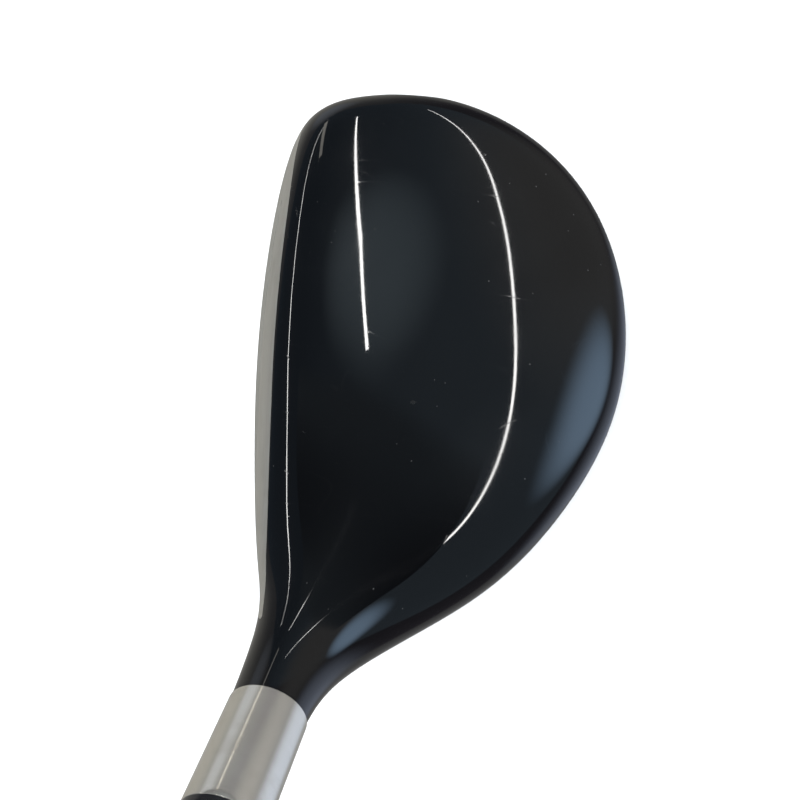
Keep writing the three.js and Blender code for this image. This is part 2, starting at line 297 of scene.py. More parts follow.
@dataclass(frozen=True)
class GlossPaint(Finish):
    """Polished black paint over steel, left bare under the sole."""

    blemishes: tuple[Blemish, ...]
    slot: str = "black_paint"
    colour: Colour = (0.0008, 0.0009, 0.0011)
    dust: Colour = (0.045, 0.045, 0.045)
    bare_steel: Colour = (0.36, 0.345, 0.325)
    bright_steel: Colour = (0.50, 0.49, 0.47)
    paint_line: float = 6.4
    paint_edge: float = 0.25

    def scratches(self, graph: Graph) -> Signal:
        """Hair-thin rubbing marks in four directions."""
        total = graph.hairs((0.3, 0.2, 0.4), 0.011, 0.0042, 0.52)
        for turn, size, sparse in ((1.5, 0.014, 0.54), (2.4, 0.009, 0.56), (5.1, 0.017, 0.55)):
            total += graph.hairs((0.1, 0.5, turn), size, 0.0036, sparse)
        return total.ramp(0.0, 1.0)

    def specks(self, graph: Graph) -> Signal:
        """Scattered dust."""
        inputs = {"Vector": graph.place(), "Scale": 620.0, "Randomness": 1.0}
        near = graph.node("ShaderNodeTexVoronoi", {"feature": "F1"}, inputs, "Distance")
        rare = graph.noise(graph.place(), 0.0021, 1.0).ramp(0.60, 0.66)
        return near.ramp(0.13, 0.04) * rare

    def marks(self, graph: Graph) -> Signal:
        """The chips, each as a ragged spot."""
        ragged = graph.noise(graph.place(), 0.0007, 2.0) * 0.0009
        spots = []
        for mark in self.blemishes:
            centre = (mark.x * MM, mark.y * MM, 0.0)
            cosine, sine = math.cos(mark.turn), math.sin(mark.turn)
            across = graph.along((cosine, sine, 0.0), centre) * (1 / mark.length)
            aside = graph.along((-sine, cosine, 0.0), centre)
            reach = across.math("SQRT", across * across + aside * aside)
            spots.append((reach + ragged).ramp(mark.radius * MM + 0.0005, mark.radius * MM + 0.00038))
        return reduce(add, spots).ramp(0.0, 1.0)

    def paint(self, graph: Graph) -> None:
        """Black gloss above the paint line and brushed steel below it."""
        scratch = self.scratches(graph)
        speck = self.specks(graph)
        mark = self.marks(graph)
        smudge = graph.noise(graph.place(), 0.021, 3.0).ramp(0.42, 0.72)
        worn = (speck * 0.7 + mark * 0.05 + scratch * 0.07).ramp(0.0, 1.0)
        tone = graph.blend(worn, self.colour, self.dust)
        peel = graph.noise(graph.place(), 0.0019, 1.0)
        relief = peel * 0.10 + scratch * 0.3 - mark * 1.5 + speck * 0.6
        normal = graph.bump(relief, 0.0000045)
        roughness = 0.028 + smudge * 0.022 + scratch * 0.05 + mark * 0.5 + speck * 0.3
        gloss = graph.surface(
            Base_Color=tone,
            Roughness=roughness,
            Normal=normal,
            IOR=1.5,
            Coat_Weight=0.03 + smudge * 0.07,
            Coat_Roughness=0.34,
        )

        strokes = graph.noise(graph.place(stretch=(0.03, 1.0, 1.0)), 0.00028, 3.0)
        scuffs = graph.hairs((0.0, 0.0, 0.9), 0.006, 0.012, 0.46)
        steel = graph.surface(
            Base_Color=graph.blend(strokes, self.bare_steel, self.bright_steel),
            Metallic=1.0,
            Roughness=0.24 + strokes * 0.16 + scuffs * 0.2,
            Normal=graph.bump(strokes - scuffs * 0.6, 0.000012),
        )
        wander = graph.noise(graph.place(), 0.012, 1.0) * 0.0004
        height = graph.along((0.0, 0.0, 1.0)) + wander
        edge = height.ramp(self.paint_line * MM, (self.paint_line + self.paint_edge) * MM)
        graph.show(graph.node("ShaderNodeMixShader", {}, {0: edge, 1: steel, 2: gloss}))


@dataclass(frozen=True)
class BrushedSteel(Finish):
    """Bare steel with fine strokes along the score lines."""

    slot: str = "face_steel"
    colour: Colour = (0.55, 0.535, 0.485)
    bright: Colour = (0.63, 0.62, 0.575)
    roughness: float = 0.36

    def paint(self, graph: Graph) -> None:
        """Long strokes, a few dark drag marks and stains."""
        fine = graph.noise(graph.place(stretch=(0.02, 1.0, 1.0)), 0.00016, 2.0)
        broad = graph.noise(graph.place(stretch=(0.05, 1.0, 1.0)), 0.0009, 2.0)
        stain = graph.noise(graph.place(), 0.009, 4.0, 0.6).ramp(0.45, 0.75)
        stroke = (fine * 0.65 + broad * 0.35).ramp(0.36, 0.66)
        tone = graph.blend(stroke, self.colour, self.bright)
        tone = graph.blend(stain * 0.14, tone, (0.36, 0.33, 0.27))
        steel = graph.surface(
            Base_Color=tone,
            Metallic=0.87,
            Roughness=self.roughness + stroke * 0.10 + stain * 0.08,
            Normal=graph.bump(stroke, 0.000004),
        )
        graph.show(steel)


@dataclass(frozen=True)
class TurnedSteel(Finish):
    """Bare steel with the fine rings a lathe leaves around an axis."""

    slot: str = "hosel_steel"
    axis: Triple = SHAFT_AXIS
    colour: Colour = (0.53, 0.505, 0.445)
    bright: Colour = (0.65, 0.625, 0.565)

    def paint(self, graph: Graph) -> None:
        """Rings of two sizes with a little tarnish."""
        height = graph.along(self.axis)
        fine = graph.lines(height, 0.00009, 1.0)
        broad = graph.lines(height, 0.0007, 2.0)
        ring = (fine * 0.7 + broad * 0.3).ramp(0.3, 0.7)
        stain = graph.noise(graph.place(), 0.005, 4.0, 0.6).ramp(0.45, 0.72)
        tone = graph.blend(ring * 0.5 + 0.25, self.colour, self.bright)
        tone = graph.blend(stain * 0.16, tone, (0.38, 0.33, 0.26))
        steel = graph.surface(
            Base_Color=tone,
            Metallic=0.80,
            Roughness=0.11 + ring * 0.05 + stain * 0.06,
            Normal=graph.bump(ring, 0.0000012),
        )
        graph.show(steel)


@dataclass(frozen=True)
class BlastedMetal(Finish):
    """Dense metal with a fine blasted grain."""

    slot: str = "screw_steel"
    colour: Colour = (0.18, 0.18, 0.19)
    grain: float = 0.00022
    depth: float = 0.000012
    roughness: float = 0.38

    def paint(self, graph: Graph) -> None:
        """Even grain with brighter worn patches."""
        grain = graph.noise(graph.place(), self.grain, 2.0)
        worn = graph.noise(graph.place(), 0.0034, 3.0).ramp(0.5, 0.75)
        bright = tuple(min(1.0, part * 1.7) for part in self.colour)
        metal = graph.surface(
            Base_Color=graph.blend(worn * 0.6 + grain * 0.2, self.colour, bright),
            Metallic=1.0,
            Roughness=self.roughness - worn * 0.1 + grain * 0.08,
            Normal=graph.bump(grain, self.depth),
        )
        graph.show(metal)


@dataclass(frozen=True)
class Moulded(Finish):
    """Plain moulded or cast plastic, resin, enamel, cork or paper with a grain."""

    slot: str
    colour: Colour
    second: Colour
    roughness: float
    grain: float
    depth: float
    coat: float = 0.0

    def paint(self, graph: Graph) -> None:
        """Mottled colour, uneven gloss and a fine grain."""
        grain = graph.noise(graph.place(), self.grain, 3.0)
        cloud = graph.noise(graph.place(), self.grain * 14, 3.0).ramp(0.35, 0.7)
        body = graph.surface(
            Base_Color=graph.blend(cloud * 0.55 + grain * 0.45, self.colour, self.second),
            Roughness=self.roughness + cloud * 0.06 + grain * 0.05,
            Coat_Weight=self.coat,
            Coat_Roughness=0.04,
            Normal=graph.bump(grain, self.depth),
        )
        graph.show(body)


@dataclass(frozen=True)
class WovenGraphite(Finish):
    """Wrapped graphite under clear lacquer, with a plain pale band below the grip."""

    slot: str = "shaft_graphite"
    axis: Triple = SHAFT_AXIS
    foot: Triple = (0.0291, -0.004, 0.0)
    colour: Colour = (0.012, 0.013, 0.016)
    second: Colour = (0.040, 0.042, 0.047)
    band: Colour = (0.42, 0.43, 0.45)
    bands: tuple[tuple[float, float], ...] = ((128.0, 130.2), (700.0, 724.0), (727.0, 728.6))

    def paint(self, graph: Graph) -> None:
        """Fibres along the shaft, slow wrap rings, and the painted bands."""
        height = graph.along(self.axis, self.foot)
        lean = (0.0, math.radians(-30), 0.0)
        fibre = graph.noise(graph.place(lean, (1.0, 1.0, 0.03)), 0.0004, 2.0)
        wrap = graph.lines(height, 0.0011, 1.0)
        tone = graph.blend((fibre * 0.8 + wrap * 0.3).ramp(0.35, 0.85), self.colour, self.second)
        edges = [(low * MM, high * MM) for low, high in self.bands]
        rings = [height.ramp(low, low + 0.0001) * height.ramp(high + 0.0001, high) for low, high in edges]
        painted = reduce(add, rings)
        tone = graph.blend(painted, tone, self.band)
        lacquer = graph.surface(
            Base_Color=tone,
            Roughness=0.32 - painted * 0.05 + fibre * 0.1,
            Coat_Weight=0.9,
            Coat_Roughness=0.05,
            Normal=graph.bump(wrap * 0.5 + fibre * 0.5, 0.000006),
        )
        graph.show(lacquer)


@dataclass(frozen=True)
class GripRubber(Finish):
    """Black rubber, its colour and gloss varying in soft random patches."""

    slot: str = "grip_rubber"
    colour: Colour = (0.014, 0.014, 0.015)
    second: Colour = (0.038, 0.037, 0.036)

    def paint(self, graph: Graph) -> None:
        """A pebbled grain with wear."""
        grain = graph.noise(graph.place(), 0.00045, 3.0)
        cloud = graph.noise(graph.place(), 0.018, 3.0).ramp(0.4, 0.7)
        rubber = graph.surface(
            Base_Color=graph.blend(grain * 0.5 + cloud * 0.5, self.colour, self.second),
            Roughness=0.62 + cloud * 0.16 + grain * 0.1,
            Sheen_Weight=0.15,
            Sheen_Roughness=0.5,
            Normal=graph.bump(grain, 0.00005),
        )
        graph.show(rubber)


# ------------------------------------------------------------------------------ mesh tools


class Cut(Enum):
    """What one solid does to another."""

    AWAY = "DIFFERENCE"
    KEEP = "INTERSECT"


def weld(bm: bmesh.types.BMesh) -> bmesh.types.BMesh:
    """Closes a skin's seams and poles and turns its faces outwards."""
    bmesh.ops.remove_doubles(bm, verts=bm.verts, dist=1e-4)
    bmesh.ops.recalc_face_normals(bm, faces=bm.faces)
    return bm


def sheet(across: int, up: int, formula: Callable[[Points, Points], Points]) -> bmesh.types.BMesh:
    """A grid that a formula bends into a closed skin.

    Args:
        across: Faces across.
        up: Faces up.
        formula: Places for shares across and up, both from 0 to 1.

    Returns:
        The mesh.
    """
    bm = bmesh.new()
    bmesh.ops.create_grid(bm, x_segments=across, y_segments=up, size=1.0)
    flat = np.array([vertex.co for vertex in bm.verts], float)
    for vertex, place in zip(bm.verts, formula((flat[:, 0] + 1) / 2, (flat[:, 1] + 1) / 2)):
        vertex.co = place
    return weld(bm)


def turned(profile: Sequence[tuple[float, float]], segments: int = 96) -> bmesh.types.BMesh:
    """Spins a closed outline of (radius, height) points about +Z."""
    bm = bmesh.new()
    points = [bm.verts.new((radius, 0.0, height)) for radius, height in profile]
    lines = [bm.edges.new((first, second)) for first, second in zip(points, points[1:])]
    if min(radius for radius, _ in profile) > 0:
        lines.append(bm.edges.new((points[-1], points[0])))
    full = {"angle": 2 * math.pi, "steps": segments, "use_merge": True}
    bmesh.ops.spin(bm, geom=points + lines, cent=(0, 0, 0), axis=(0, 0, 1), **full)
    return weld(bm)


def soften(bm: bmesh.types.BMesh, width: float, segments: int = 3, over: float = 25.0) -> None:
    """Rounds every edge that turns by more than `over` degrees."""
    limit = math.radians(over)
    sharp = [edge for edge in bm.edges if edge.is_manifold and edge.calc_face_angle(0.0) > limit]
    fixed = {"profile": 0.5, "affect": "EDGES", "material": -1}
    bmesh.ops.bevel(bm, geom=sharp, offset=width, segments=segments, clamp_overlap=True, **fixed)


def pushed(outline: Sequence[tuple[float, float]], low: float, high: float) -> bmesh.types.BMesh:
    """Pushes a flat outline from low to high along +Z."""
    bm = bmesh.new()
    face = bm.faces.new([bm.verts.new((x, y, low)) for x, y in outline])
    grown = bmesh.ops.extrude_face_region(bm, geom=[face], use_keep_orig=True)
    raised = [item for item in grown["geom"] if isinstance(item, bmesh.types.BMVert)]
    bmesh.ops.translate(bm, verts=raised, vec=(0, 0, high - low))
    bmesh.ops.recalc_face_normals(bm, faces=bm.faces)
    return bm


def quadratic(start: Vector, pull: Vector, end: Vector, steps: int) -> list[tuple[float, float]]:
    """Points after `start` on a curve pulled towards one point."""
    shares = [step / steps for step in range(1, steps + 1)]
    return [tuple((1 - s) ** 2 * start + 2 * s * (1 - s) * pull + s * s * end) for s in shares]


def to_object(bm: bmesh.types.BMesh, name: str, scale: float = 1.0) -> bpy.types.Object:
    """Makes an object of a mesh, with every face smooth and sharp edges kept sharp."""
    bm.normal_update()
    for face in bm.faces:
        face.smooth = True
    for edge in bm.edges:
        edge.smooth = not edge.is_manifold or edge.calc_face_angle(0.0) < math.radians(38)
    bmesh.ops.scale(bm, verts=bm.verts, vec=(scale, scale, scale))
    mesh = bpy.data.meshes.new(name)
    bm.to_mesh(mesh)
    bm.free()
    made = bpy.data.objects.new(name, mesh)
    bpy.context.scene.collection.objects.link(made)
    return made


def in_metres(piece: bpy.types.Object) -> bpy.types.Object:
    """Turns a piece made in millimetres into metres."""
    piece.data.transform(Matrix.Scale(MM, 4))
    return piece


def baked(piece: bpy.types.Object) -> bpy.types.Object:
    """Applies a piece's modifiers to its mesh."""
    ready = piece.evaluated_get(bpy.context.evaluated_depsgraph_get())
    old, name = piece.data, piece.data.name
    piece.data = bpy.data.meshes.new_from_object(ready)
    piece.modifiers.clear()
    bpy.data.meshes.remove(old)
    piece.data.name = name
    return piece


def carve(piece: bpy.types.Object, tool: bpy.types.Object, cut: Cut) -> bpy.types.Object:
    """Cuts a piece by another solid, which is used up.

    Args:
        piece: The solid that is cut.
        tool: The solid that cuts it.
        cut: Whether the tool's space is taken away or is all that is kept.

    Returns:
        The piece.
    """
    step = piece.modifiers.new("cut", "BOOLEAN")
    step.operation = cut.value
    step.solver = "MANIFOLD"
    step.object = tool
    bpy.context.view_layer.update()
    baked(piece)
    bpy.data.meshes.remove(tool.data)
    return piece


def evened(piece: bpy.types.Object) -> bpy.types.Object:
    """Weights a piece's shading by face size, so that flats stay flat beside rounded edges."""
    step = piece.modifiers.new("even", "WEIGHTED_NORMAL")
    step.keep_sharp = True
    step.weight = 90
    return baked(piece)


def mount(piece: bpy.types.Object, finish: Finish, *nodes: str) -> bpy.types.Object:
    """Finishes a piece: its material, the body it rides on, and the nodes that it stands for."""
    finish.dress(piece)
    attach(piece, "root")
    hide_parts(*nodes)
    LOG.info("%s: %d faces", piece.name, len(piece.data.polygons))
    return piece


# ------------------------------------------------------------------------------ the club


@dataclass(frozen=True)
class ShaftLine:
    """The line down the middle of the hosel and shaft. Heights along it start at the ground."""

    foot_x: float = 29.1
    y: float = -4.0
    lie: float = math.radians(60)

    @property
    def matrix(self) -> Matrix:
        """Stands a piece turned about +Z on the line."""
        lean = Matrix.Rotation(math.pi / 2 - self.lie, 4, "Y")
        return Matrix.Translation((self.foot_x, self.y, 0)) @ lean

    def stand(self, bm: bmesh.types.BMesh) -> bmesh.types.BMesh:
        """Moves a mesh turned about +Z onto the line."""
        bmesh.ops.transform(bm, matrix=self.matrix, verts=bm.verts)
        return bm

    def turned_piece(self, bm: bmesh.types.BMesh, name: str) -> bpy.types.Object:
        """Stands a turned mesh on the line and evens its shading."""
        return evened(to_object(self.stand(bm), name, MM))


@dataclass(frozen=True)
class HeadForm:
    """The head's outer shape as a distance that is positive outside and negative inside.

    The face is a lofted plane with bulge and roll, the crown and sole are shallow domes, and the
    rim is an ellipse flattened on the heel side.
    """

    line: ShaftLine = ShaftLine()
    loft: float = math.radians(22.5)
    lead_y: float = -28.0
    lead_z: float = 5.0
    bulge: float = 290.0
    roll: float = 280.0
    roll_centre: float = 16.0
    neck_radius: float = 6.75
    neck_top: float = 57.7
    bend_x: float = 38.0
    bend_z: float = 52.6
    head_share: float = 0.6
    bend_share: float = 0.28
    crown_middle: Triple = (12.0, -12.0, 36.5)
    crown_radii: tuple[float, float] = (210.0, 98.0)
    sole_radii: tuple[float, float] = (190.0, 140.0)
    sole_drop: float = 0.95
    keel: float = 6.0
    keel_x: float = 2.0
    keel_span: float = 50.0
    rim_middle: tuple[float, float] = (-2.0, 8.0)
    rim_halves: tuple[float, float] = (53.0, 52.0)
    flat_turn: float = math.radians(56)
    flat_reach: float = 54.8
    flat_blend: float = 10.0
    flare: float = 1.9
    flare_top: float = 48.0
    flare_fade: float = 4.0
    flare_in_front: float = 0.225
    skirt_blend: float = 9.0
    topline_blend: float = 5.5
    neck_blend: float = 33.0
    sole_blend: float = 4.5
    core: Triple = (-30.0, 5.6, 15.5)
    core_shift: tuple[float, float] = (0.4, 2.1)
    hub_y: float = 6.0
    hub_z: float = 17.6
    hub_reach: float = 18.6
    aim_down: float = 17.0
    aim_aside: float = 36.0

    @staticmethod
    def smooth_max(a: Points, b: Points, blend: float | Points) -> Points:
        """The larger of two distances with a rounded edge between them."""
        return 0.5 * (a + b + np.sqrt((a - b) ** 2 + blend**2))

    @staticmethod
    def smooth_join(a: Points, b: Points, blend: float) -> Points:
        """The smaller of two distances with a fillet between them."""
        overlap = np.maximum(blend - np.abs(a - b), 0) / blend
        return np.minimum(a, b) - overlap**3 * blend / 6

    def face(self, p: Points) -> Points:
        """How far points lie in front of the face."""
        y, z = p[:, 1] - self.lead_y, p[:, 2] - self.lead_z
        forward = z * math.sin(self.loft) - y * math.cos(self.loft)
        up = y * math.sin(self.loft) + z * math.cos(self.loft)
        roll = ((up - self.roll_centre) ** 2 - self.roll_centre**2) / (2 * self.roll)
        return forward + p[:, 0] ** 2 / (2 * self.bulge) + roll

    def crown(self, p: Points) -> Points:
        """How far points lie above the crown."""
        (x, y, z), (radius_x, radius_y) = self.crown_middle, self.crown_radii
        return p[:, 2] - z + (p[:, 0] - x) ** 2 / (2 * radius_x) + (p[:, 1] - y) ** 2 / (2 * radius_y)

    def sole(self, p: Points) -> Points:
        """How far points lie below the sole."""
        radius_x, radius_y = self.sole_radii
        keel = self.keel * ((p[:, 0] - self.keel_x) / self.keel_span) ** 4
        dome = p[:, 0] ** 2 / (2 * radius_x) + p[:, 1] ** 2 / (2 * radius_y)
        return dome + keel - p[:, 2] - self.sole_drop

    def rim(self, p: Points) -> Points:
        """How far points lie outside the rim, seen from above."""
        (x, y), (half_x, half_y) = self.rim_middle, self.rim_halves
        oval = (np.hypot((p[:, 0] - x) / half_x, (p[:, 1] - y) / half_y) - 1) * ((half_x + half_y) / 2)
        out = p[:, 0] * math.cos(self.flat_turn) + p[:, 1] * math.sin(self.flat_turn)
        return self.smooth_max(oval, out - self.flat_reach, self.flat_blend)

    def neck(self, p: Points) -> Points:
        """How far points lie outside the neck, which flares into the head at the back."""
        lean_x, lean_z = math.cos(self.line.lie), math.sin(self.line.lie)
        along = (p[:, 0] - self.line.foot_x) * lean_x + p[:, 2] * lean_z
        side = (p[:, 0] - self.line.foot_x) * lean_z - p[:, 2] * lean_x
        out = np.hypot(side, p[:, 1] - self.line.y)
        backwards = (p[:, 1] - self.line.y) / (out + 0.5)
        flare = self.flare * np.logaddexp(0, (self.flare_top - along) / self.flare_fade)
        share = self.flare_in_front + (1 - self.flare_in_front) * backwards
        return out - self.neck_radius - flare * share

    def distance(self, p: Points) -> Points:
        """Roughly how far points lie from the head's surface."""
        found = self.smooth_max(self.crown(p), self.rim(p), self.skirt_blend)
        found = self.smooth_max(found, self.face(p), self.topline_blend)
        found = self.smooth_join(found, self.neck(p), self.neck_blend)
        back = np.clip((p[:, 1] + 24) / 24, 0, 1)
        softer = self.sole_blend * back * back * (3 - 2 * back)
        return self.smooth_max(found, self.sole(p), self.sole_blend + softer)

    def normals(self, p: Points, step: float = 0.02) -> Points:
        """The outward direction at each point, and straight down on the sole's flat."""
        slope = np.empty_like(p)
        for axis in range(3):
            nudge = np.zeros(3)
            nudge[axis] = step
            slope[:, axis] = self.distance(p + nudge) - self.distance(p - nudge)
        slope[p[:, 2] < 1e-3] = (0.0, 0.0, -1.0)
        return slope / np.linalg.norm(slope, axis=1, keepdims=True)

    def march(self, centres: Points, directions: Points, inset: float = 0.0) -> Points:
        """Walks from points inside to the surface.

        Args:
            centres: Starting points inside the head.
            directions: Unit directions to walk in.
            inset: How deep under the surface to stop.

        Returns:
            Where each walk ends.
        """
        low, high = np.zeros(len(centres)), np.full(len(centres), 75.0)
        for _ in range(34):
            middle = (low + high) / 2
            inside = self.distance(centres + directions * middle[:, None]) + inset < 0
            low, high = np.where(inside, middle, low), np.where(inside, high, middle)
        return centres + directions * low[:, None]

    def rings(self, shares: Points, tip_x: float) -> tuple[Points, Points]:
        """Where rings round the head are centred, and which way is down on them.

        They stand upright from the toe, turn about the bend until they lie square to the shaft
        line, and then climb the neck.

        Args:
            shares: How far along the head each ring is, from the toe at 0 to the neck's top at 1.
            tip_x: The toe's end.

        Returns:
            Centres and unit down directions.
        """
        way = 1 - np.cos(np.minimum(shares / self.head_share, 1) * math.pi / 2)
        (_, core_y, core_z), (shift_y, shift_z) = self.core, self.core_shift
        middle = [tip_x + (self.bend_x - tip_x) * way, core_y + shift_y * way, core_z + shift_z * way]
        upright = np.stack(middle, 1)
        bent = np.clip((shares - self.head_share) / self.bend_share, 0, 1)
        turn = self.line.lie * bent
        down = np.stack([np.sin(turn), np.zeros_like(turn), -np.cos(turn)], 1)
        left = (1 - bent) ** 2
        reach = self.hub_reach + (self.bend_z - self.hub_z - self.hub_reach) * left
        hub_y = self.line.y + (self.hub_y - self.line.y) * left
        hub = np.stack([np.full_like(left, self.bend_x), hub_y, np.full_like(left, self.bend_z)], 1)
        lean_x, lean_z = math.cos(self.line.lie), math.sin(self.line.lie)
        bend_top = (self.bend_x - self.line.foot_x) * lean_x + self.bend_z * lean_z
        rest = 1 - self.head_share - self.bend_share
        climbed = np.clip((shares - self.head_share - self.bend_share) / rest, 0, 1)
        climb = (self.neck_top - bend_top) * climbed
        rise = np.stack([climb * lean_x, 0 * climb, climb * lean_z], 1)
        leaning = hub + down * reach[:, None] + rise
        return np.where((shares <= self.head_share)[:, None], upright, leaning), down

    def skin(self, inset: float, rows: int, around: int, reach: float = 1.0) -> bmesh.types.BMesh:
        """A closed skin under the surface, from the toe towards the neck's top.

        Args:
            inset: How deep under the surface it lies.
            rows: Rings from toe to neck.
            around: Faces round each ring.
            reach: The share of the way to the neck's top where it ends.

        Returns:
            The mesh, flat where it would sink under the ground.
        """
        tip = self.march(np.array([self.core]), np.array([[-1.0, 0.0, 0.0]]), inset)[0]

        def formula(turn_share: Points, row_share: Points) -> Points:
            """Places for shares round a ring and along the head."""
            row = np.round(row_share * rows)
            centres, down = self.rings(np.minimum(row / (rows - 1), 1) * reach, tip[0])
            turn = 2 * math.pi * (turn_share % 1)
            aim = down * (-self.aim_down * np.sin(turn))[:, None]
            aim[:, 1] += self.aim_aside * np.cos(turn)
            aim /= np.linalg.norm(aim, axis=1, keepdims=True)
            places = self.march(centres, aim, inset)
            places[row == 0] = tip
            places[row == rows] = centres[row == rows]
            places[:, 2] = np.maximum(places[:, 2], inset)
            return places

        return sheet(around, rows, formula)

    def dress_normals(self, piece: bpy.types.Object) -> bpy.types.Object:
        """Shades faces that follow the form by the form's own slope, and other faces flat."""
        mesh = piece.data
        count = len(mesh.vertices)
        places = np.empty(count * 3, np.float32)
        mesh.vertices.foreach_get("co", places)
        slopes = self.normals(places.reshape(-1, 3).astype(float))
        corners = np.empty(len(mesh.loops), np.int32)
        mesh.loops.foreach_get("vertex_index", corners)
        sizes = np.empty(len(mesh.polygons), np.int32)
        mesh.polygons.foreach_get("loop_total", sizes)
        flat = np.empty(len(mesh.polygons) * 3, np.float32)
        mesh.polygons.foreach_get("normal", flat)
        facing = np.repeat(flat.reshape(-1, 3), sizes, axis=0)
        follow = slopes[corners]
        agree = np.sum(facing * follow, axis=1, keepdims=True)
        chosen = np.where(np.abs(agree) > 0.9, follow * np.sign(agree), facing)
        mesh.polygons.foreach_set("use_smooth", np.ones(len(mesh.polygons), bool))
        mesh.normals_split_custom_set(chosen.tolist())
        return piece


@dataclass
class ClubHead:
    """The cast body, the face plate, and what is let into the sole."""

    form: HeadForm = HeadForm()
    wall: float = 1.2
    plate: float = 2.2
    lip: float = 6.2
    seam: float = 0.05
    bore: float = 5.55
    port_y: float = 27.0
    port_radius: float = 8.5
    port_tilt: float = math.radians(11)
    badge_x: float = -23.0
    badge_y: float = 4.0
    badge_length: float = 24.0
    badge_width: float = 9.0
    badge_depth: float = 0.6
    grooves: int = 7
    first_groove: float = 5.5
    groove_pitch: float = 2.7
    groove_width: float = 0.7
    groove_depth: float = 0.3
    groove_reach: float = 29.0
    port_fit: float = 0.12
    badge_fit: float = 0.14
    rows: int = 210
    around: int = 216

    def skin(self, inset: float, share: float = 1.0, reach: float = 1.0) -> bmesh.types.BMesh:
        """A skin at an inset, with a share of the full count of faces each way."""
        return self.form.skin(inset, round(self.rows * share), round(self.around * share), reach)

    def prism(self, grow: float) -> bpy.types.Object:
        """The face plate's outline pushed through the face.

        Args:
            grow: How much wider than the plate it is.

        Returns:
            The solid, in millimetres.
        """
        heel, toe, below = 46.2 + grow, -42.5 - grow, -9 - grow
        outline = [(toe, below), (heel, below), (heel, 36.5)]
        curves = (
            ((heel, 40.4), (45.2, 39.3)),
            ((42.8, 35.4), (36.0, 33.0)),
            ((27.0, 30.9), (15.0, 30.7)),
            ((-6.0, 30.3), (-22.0, 27.0)),
            ((-30.0, 25.35), (-37.0, 21.6)),
            ((toe, 18.6), (toe, 13.0 - grow)),
        )
        start = Vector((heel, 36.5))
        for pull, end in curves:
            reach = Vector((end[0], end[1] + grow))
            outline += quadratic(start, Vector((pull[0], pull[1] + grow)), reach, 20)
            start = reach
        bm = pushed(outline, -self.lip - grow, 12.0)
        tilt = Matrix.Rotation(math.pi / 2 - self.form.loft, 4, "X")
        place = Matrix.Translation((0, self.form.lead_y, self.form.lead_z))
        bmesh.ops.transform(bm, matrix=place @ tilt, verts=bm.verts)
        return to_object(bm, "face_prism")

    def stadium(self, grow: float) -> bpy.types.Object:
        """The badge's round-ended outline, pushed up through the sole."""
        half = (self.badge_length - self.badge_width) / 2
        radius = self.badge_width / 2 + grow
        outline = []
        for side, first in ((1, -90), (-1, 90)):
            turns = [math.radians(first + 180 * step / 24) for step in range(25)]
            outline += [(side * half + radius * math.cos(t), radius * math.sin(t)) for t in turns]
        bm = pushed([(self.badge_x + x, self.badge_y + y) for x, y in outline], -10.0, 4.0)
        return to_object(bm, "badge_outline")

    def in_port(self, bm: bmesh.types.BMesh) -> bmesh.types.BMesh:
        """Stands a piece turned about +Z in the port, with +Z into the head."""
        start, down = np.array([[0.0, self.port_y, 15.0]]), np.array([[0.0, 0.0, -1.0]])
        surface = self.form.march(start, down)[0][2]
        place = Matrix.Translation((0, self.port_y, surface)) @ Matrix.Rotation(self.port_tilt, 4, "X")
        bmesh.ops.transform(bm, matrix=place, verts=bm.verts)
        return bm

    def groove(self, number: int) -> bpy.types.Object:
        """A score line's cutter, which follows the face at an even depth."""
        height = self.first_groove + number * self.groove_pitch
        loft = self.form.loft

        def formula(along: Points, around: Points) -> Points:
            """A closed strip: shares along the groove and round its section."""
            turn = 2 * math.pi * (around % 1)
            width = self.groove_width / 2 * np.clip(np.cos(turn) * 1.6, -1, 1)
            over = np.sin(turn)
            reach = 2 + self.groove_reach * (2 * along - 1)
            taper = np.sqrt(np.clip((0.5 - np.abs(along - 0.5)) * 60, 0, 1))
            up = height + width * taper
            back, rise = up * math.sin(loft), up * math.cos(loft)
            base = np.stack([reach, self.form.lead_y + back, self.form.lead_z + rise], 1)
            inwards = np.tile([0.0, math.cos(loft), -math.sin(loft)], (len(base), 1))
            centres = base + inwards * 8
            found = self.form.march(centres, -inwards)
            depth = np.where(over < 0, -self.groove_depth * np.clip(-over * 1.7, 0, 1) * taper, over * 0.8)
            return found - inwards * depth[:, None]

        return to_object(sheet(58, 16, formula), "groove")

    def body(self) -> bpy.types.Object:
        """The hollow casting with its window, neck bore, port hole and badge seat."""
        outer = self.skin(0.0)
        rim = [edge for edge in outer.edges if edge.calc_face_angle(0.0) > math.radians(50)]
        fixed = {"profile": 0.5, "affect": "EDGES", "material": -1}
        bmesh.ops.bevel(outer, geom=rim, offset=0.16, segments=2, **fixed)
        piece = to_object(outer, "head_body")
        carve(piece, to_object(self.skin(self.wall, 0.5, 0.8), "cavity"), Cut.AWAY)
        behind = to_object(self.skin(self.plate + 0.3, 0.5), "behind")
        carve(piece, carve(self.prism(self.seam), behind, Cut.AWAY), Cut.AWAY)
        bore = self.form.line.stand(turned([(0, 28.0), (self.bore, 28.0), (self.bore, 62.0), (0, 62.0)], 64))
        carve(piece, to_object(bore, "bore"), Cut.AWAY)
        wide = self.port_radius + self.port_fit
        hole = self.in_port(turned([(0, -6.0), (wide, -6.0), (wide, 6.0), (0, 6.0)]))
        carve(piece, to_object(hole, "hole"), Cut.AWAY)
        under = to_object(self.skin(self.badge_depth + 0.1, 0.7), "under")
        return carve(piece, carve(self.stadium(self.badge_fit), under, Cut.AWAY), Cut.AWAY)

